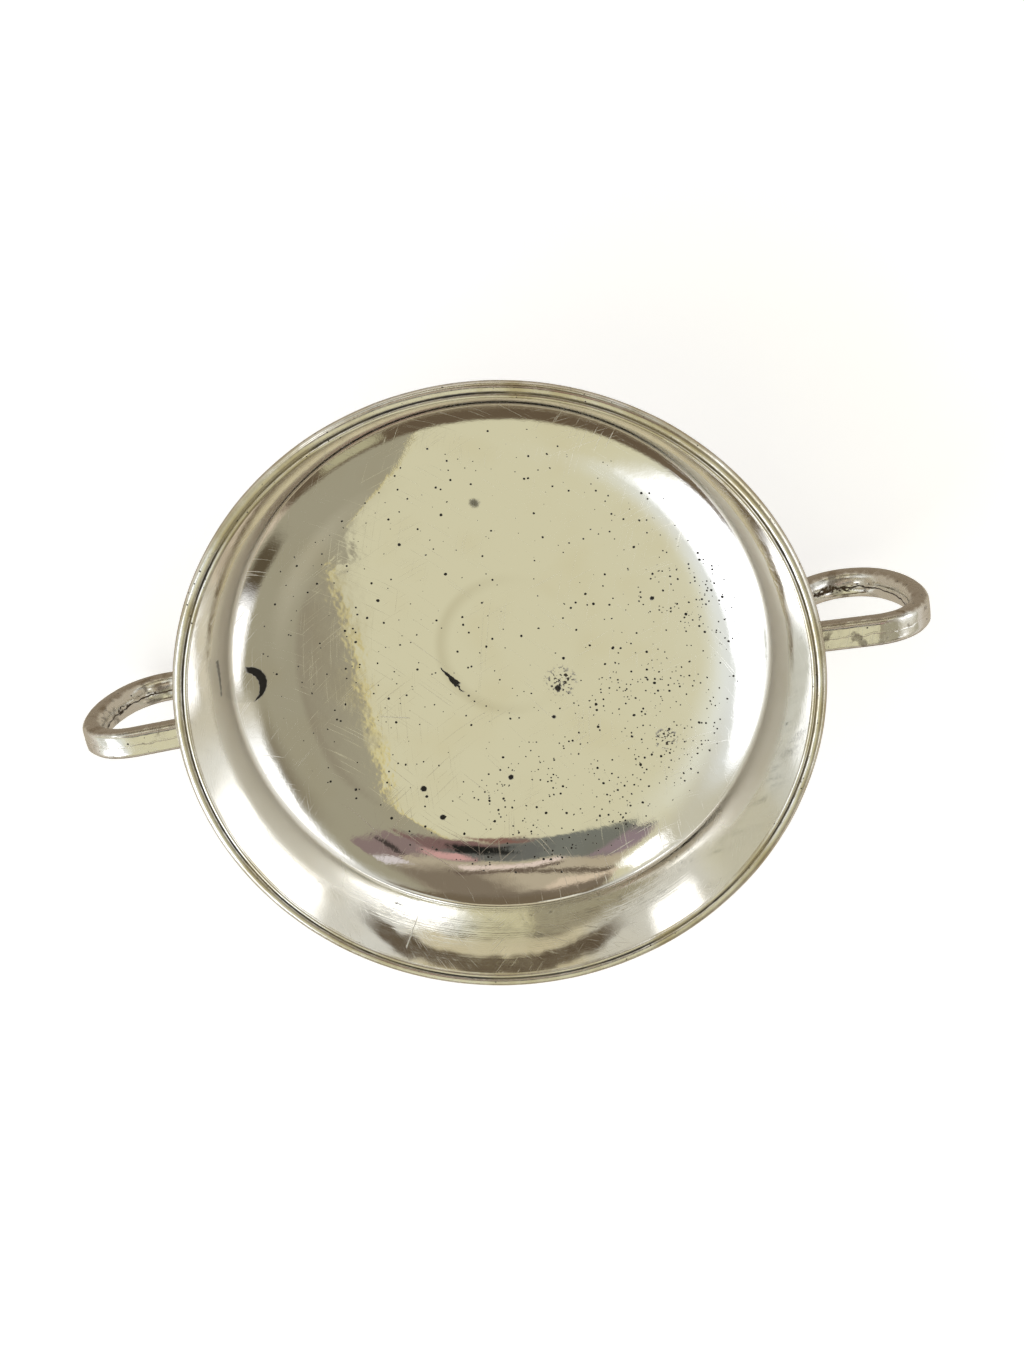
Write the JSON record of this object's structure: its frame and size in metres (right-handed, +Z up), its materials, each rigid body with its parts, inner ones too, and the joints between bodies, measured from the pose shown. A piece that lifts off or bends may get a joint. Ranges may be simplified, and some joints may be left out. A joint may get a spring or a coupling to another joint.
{
  "type": "two-handled paten dish",
  "caption": "Round silver dish with a wide dished well, steep reeded brim, soldered ring handles at the sides and a low trumpet foot.",
  "frame": {"origin": "centre of the foot's standing face, on the dish's axis", "axes": "+Z up along the dish's axis; X runs through the handles, right_handle at +X"},
  "size_m": [0.2064, 0.15, 0.0504],
  "materials": {
    "silver_bowl": "worn polished silver, pitted and finely scratched",
    "silver_wire": "worn polished silver with tarnish in the grooves",
    "silver_handle": "polished cast silver, pitted, with a seam line inside the loop",
    "silver_foot": "worn polished silver"
  },
  "bodies": {
    "root": {"bowl": "silver_bowl", "rim_wire": "silver_wire", "right_handle": "silver_handle", "left_handle": "silver_handle", "foot": "silver_foot", "foot_wire": "silver_wire"}
  },
  "joints": []
}
